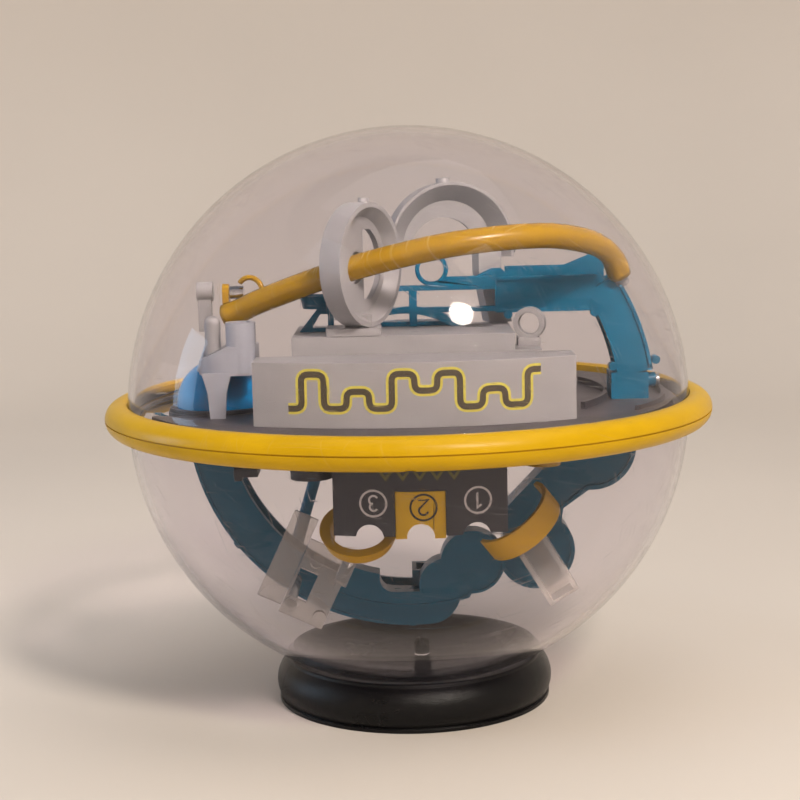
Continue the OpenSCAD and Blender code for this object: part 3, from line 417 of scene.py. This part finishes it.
def arc(centre, radius, start, end, steps):
    """Points along an arc from start to end, which are in degrees."""
    angles = [math.radians(start + (end - start) * k / steps) for k in range(steps + 1)]
    return [centre + radius * Vector((math.cos(a), math.sin(a))) for a in angles]


def bulging_face(front, middle, radius):
    """A function that gives the Y at x of an upright cylinder's front, which is foremost at middle."""
    return lambda x: front + radius - math.sqrt(radius * radius - (x - middle) ** 2)


def maze_line_print():
    """A generic maze line, dark with a yellow-green edge, across the front panel."""
    face_r, corner_r = 154 * MM, 2.4 * MM
    step, row_pitch, row_base = 7.2 * MM, 5.5 * MM, 6.5 * MM
    line_w, edge_w = 2.0 * MM, 3.6 * MM
    # The edge film lies on the panel, and the line's film on the edge film
    edge_lift, line_lift = 0.02 * MM, 0.11 * MM
    # The row that each upright of the line rises or falls to, from left to right
    turns = [2, 0, 1, 0, 2, 1, 2, 0, 1, 0, 2]
    low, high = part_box("front_panel")
    middle = (low[0] + high[0]) / 2
    face = bulging_face(low[1], middle, face_r)
    rows = [low[2] + row_base + k * row_pitch for k in range(3)]
    length = (len(turns) - 1) * step
    left = middle - length / 2
    tail = 0.6 * step
    points = [Vector((left - tail, rows[0])), Vector((left, rows[0]))]
    for k, row in enumerate(turns):
        points.append(Vector((left + k * step, rows[row])))
        points.append(Vector((left + (k + 1) * step, rows[row])))
    points[-1].x = left + length + tail
    paths = [(rounded(points, corner_r), False)]
    print_on("panel_print_edge", paths, edge_w, face, edge_lift, "ink_glow")
    print_on("panel_print_line", paths, line_w, face, line_lift, "ink_dark")


def digit(number, centre, size):
    """Strokes of a digit, turned half round as it hangs under the deck. size is its height."""
    if number == 1:
        strokes = [[(-0.22, 0.3), (0.05, 0.5), (0.05, -0.5)]]
    elif number == 2:
        strokes = [arc(Vector((0, 0.2)), 0.3, 165, -25, 14) + [(-0.3, -0.5), (0.34, -0.5)]]
    else:
        top = arc(Vector((-0.02, 0.24)), 0.25, 150, -80, 14)
        bottom = arc(Vector((-0.02, -0.22)), 0.29, 80, -150, 16)
        strokes = [top, bottom]
    return [([centre - Vector(p) * size for p in stroke], False) for stroke in strokes]


def number_print(number, centre, face, ink):
    """A digit in a ring, printed on one of the start block's faces."""
    ring_r, digit_h, line_w, lift = 4.3 * MM, 5.0 * MM, 0.68 * MM, 0.03 * MM
    ring = (arc(centre, ring_r, 0, 350, 35), True)
    paths = [ring] + digit(number, centre, digit_h)
    print_on(f"start_number_{number}", paths, line_w, face, lift, ink)


def chevron_print(middle, top, face):
    """A row of chevrons that point down to the numbers."""
    count, pitch, half_w, height = 5, 5.6 * MM, 1.9 * MM, 2.6 * MM
    line_w, lift = 0.9 * MM, 0.03 * MM
    chevrons = []
    for k in range(count):
        x = middle + (k - (count - 1) / 2) * pitch
        corners = [Vector((x - half_w, top)), Vector((x, top - height)), Vector((x + half_w, top))]
        chevrons.append((split_long(corners), False))
    print_on("start_chevrons", chevrons, line_w, face, lift, "ink_olive")


def start_prints():
    """Circled numbers on the start block and its middle panel, and chevrons above them."""
    face_r, number_z, chevron_z = 90 * MM, 11.1 * MM, 21.8 * MM
    low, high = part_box("start_block")
    panel_low, panel_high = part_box("start_panel")
    middle = (panel_low[0] + panel_high[0]) / 2
    block_face = bulging_face(low[1], middle, face_r)
    panel_face = bulging_face(panel_low[1], middle, face_r)
    row = low[2] + number_z
    # Each number stands a little off the middle of its own field
    third = Vector(((low[0] + panel_low[0]) / 2, row)) + Vector((3.1, 0.0)) * MM
    second = Vector((middle, row)) + Vector((1.0, -1.6)) * MM
    first = Vector(((high[0] + panel_high[0]) / 2, row)) + Vector((0.4, 0.3)) * MM
    number_print(3, third, block_face, "ink_white")
    number_print(2, second, panel_face, "ink_black")
    number_print(1, first, block_face, "ink_white")
    chevron_print(middle, low[2] + chevron_z, block_face)


# ---------- Studio ----------


def ring_of_verts(mesh, radius, height, sides=96):
    """A level ring of vertices about the Z axis."""
    angles = [2 * math.pi * k / sides for k in range(sides)]
    return [mesh.verts.new((radius * math.cos(a), radius * math.sin(a), height)) for a in angles]


def studio_floor():
    """A round floor that curves up into a wall all round, so that every view sees the same backdrop."""
    disc_r, flat_r, bend_r, wall_h, bend_steps = 0.2, 0.75, 0.35, 1.7, 12
    profile = [(disc_r, 0.0), (flat_r, 0.0)]
    for k in range(1, bend_steps + 1):
        angle = math.radians(90 * k / bend_steps)
        profile.append((flat_r + bend_r * math.sin(angle), bend_r * (1 - math.cos(angle))))
    profile.append((flat_r + bend_r, wall_h))
    mesh = bmesh.new()
    rings = [ring_of_verts(mesh, radius, height) for radius, height in profile]
    mesh.faces.new(rings[0])
    for inner, outer in zip(rings, rings[1:]):
        for k in range(len(inner)):
            after = (k + 1) % len(inner)
            mesh.faces.new((inner[k], outer[k], outer[after], inner[after]))
    for face in mesh.faces:
        face.smooth = True
    data = bpy.data.meshes.new("studio_floor")
    mesh.to_mesh(data)
    mesh.free()
    floor = bpy.data.objects.new("studio_floor", data)
    bpy.context.collection.objects.link(floor)
    data.materials.append(backdrop_paint("studio_paint", rgb(212, 204, 196)))


def soft_light(name, place, size, power, colour, shape="RECTANGLE"):
    """A lamp at place that faces the globe, with its size in metres and its power in watts."""
    light = bpy.data.lights.new(name, "AREA")
    light.shape = shape
    light.size, light.size_y = size
    light.energy = power
    light.color = colour
    obj = bpy.data.objects.new(name, light)
    obj.location = place
    obj.rotation_euler = (GLOBE_C - Vector(place)).to_track_quat("-Z", "Y").to_euler()
    # The lamp lights the object and shines in it, but no view shows the lamp itself
    obj.visible_camera = False
    obj.visible_transmission = False
    bpy.context.collection.objects.link(obj)


def studio_lights():
    """One small warm lamp, a cool window and soft fill, as in a room."""
    soft_light("lamp_right", (0.36, -0.756, 0.82), (0.17, 0.17), 9.0, (1.0, 0.90, 0.78), "DISK")
    soft_light("window_left", (-0.98, 0.1, 0.2), (0.22, 0.5), 2.4, (0.50, 0.74, 1.0))
    soft_light("sky_left", (-0.95, -0.65, 1.85), (0.7, 0.7), 3.6, (0.62, 0.80, 1.0))
    soft_light("room_right", (0.95, -0.75, 1.85), (0.6, 0.6), 6.5, (1.0, 0.86, 0.70))
    soft_light("ceiling", (0.3, 0.2, 2.3), (1.9, 1.9), 12.8, (1.0, 0.99, 0.99))
    world = bpy.data.worlds.new("studio_air")
    bpy.context.scene.world = world
    world.use_nodes = True
    air = world.node_tree.nodes["Background"]
    air.inputs["Color"].default_value = (0.86, 0.93, 1.0, 1.0)
    air.inputs["Strength"].default_value = 0.2
    bpy.context.scene.view_settings.view_transform = "Standard"


def photo_camera():
    """The camera looks slightly down at the globe, with a small roll and shift."""
    distance, down, roll = 0.625, 8.1, -1.3
    camera = bpy.data.objects.new("camera", bpy.data.cameras.new("camera"))
    bpy.context.collection.objects.link(camera)
    tilt = math.radians(down)
    place = GLOBE_C + Vector((0, -distance * math.cos(tilt), distance * math.sin(tilt)))
    look = (GLOBE_C - place).to_track_quat("-Z", "Y").to_matrix().to_4x4()
    camera.matrix_world = Matrix.Translation(place) @ look @ Matrix.Rotation(math.radians(roll), 4, "Z")
    camera.data.sensor_width = 36.0
    camera.data.lens = 78.0
    camera.data.shift_x = -0.0105
    camera.data.shift_y = 0.0075
    camera.data.clip_start = 0.01
    bpy.context.scene.camera = camera


photo_camera()
finish_nodes()
maze_line_print()
start_prints()
studio_floor()
studio_lights()

bpy.context.view_layer.update()
